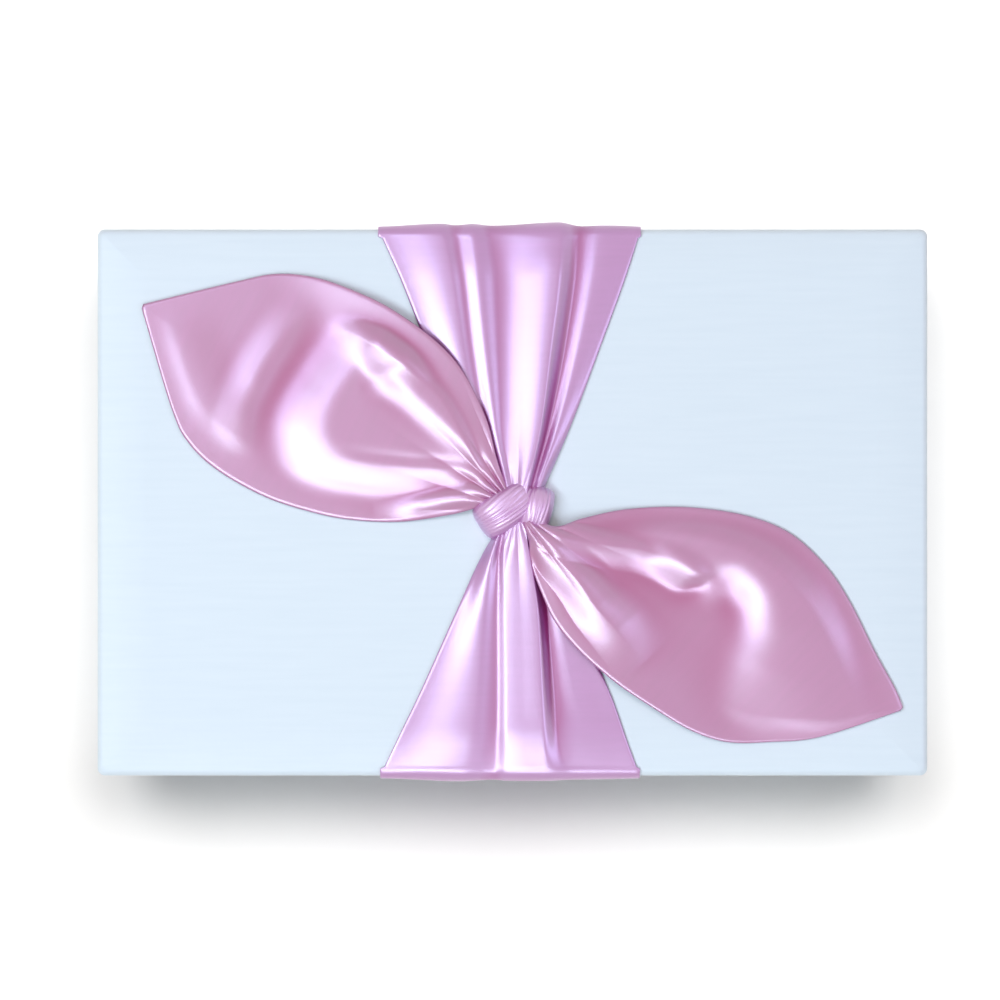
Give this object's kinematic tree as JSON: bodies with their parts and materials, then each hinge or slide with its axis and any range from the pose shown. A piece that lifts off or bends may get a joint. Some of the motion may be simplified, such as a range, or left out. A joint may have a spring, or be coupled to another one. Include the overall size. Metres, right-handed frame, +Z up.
{
  "type": "gift box",
  "caption": "Rectangular satin-covered gift box with a padded lift-off lid, a lined base and a wide satin sash knotted on the lid with two leaf-shaped tails.",
  "frame": {"origin": "middle of the underside, on the surface that the box stands on", "axes": "+Z up, +X along the box's long side, +Y towards the back edge of the lid"},
  "size_m": [0.24, 0.1602, 0.076],
  "materials": {
    "white_satin": "white satin with a soft sheen",
    "pink_satin": "glossy pink satin",
    "greyboard": "uncoated greyboard",
    "wadding": "soft polyester wadding",
    "gummed_tape": "matt gummed paper tape",
    "white_paper": "smooth uncoated paper"
  },
  "bodies": {
    "base": {"base_back_lining": "white_satin", "base_back_wall": "greyboard", "base_bottom_sheet": "white_paper", "base_corner_stays": "gummed_tape", "base_floor_board": "greyboard", "base_front_lining": "white_satin", "base_front_wall": "greyboard", "base_left_lining": "white_satin", "base_left_wall": "greyboard", "base_pad_card": "greyboard", "base_pad_cover": "white_satin", "base_pad_wadding": "wadding", "base_right_lining": "white_satin", "base_right_wall": "greyboard", "base_satin_wrap": "white_satin"},
    "lid": {"lid_back_skirt": "greyboard", "lid_corner_stays": "gummed_tape", "lid_front_skirt": "greyboard", "lid_left_skirt": "greyboard", "lid_lining": "white_satin", "lid_right_skirt": "greyboard", "lid_satin_cover": "white_satin", "lid_top_board": "greyboard", "lid_wadding": "wadding", "sash_back_band": "pink_satin", "sash_front_band": "pink_satin", "sash_knot_core": "pink_satin", "sash_knot_narrow_turn": "pink_satin", "sash_knot_wide_turn": "pink_satin", "sash_left_tail": "pink_satin", "sash_right_tail": "pink_satin"}
  },
  "joints": [
    {"name": "lid_lift", "type": "slide", "parent": "base", "child": "lid", "axis": [0, 0, 1], "range_m": [0, 0.09]}
  ]
}
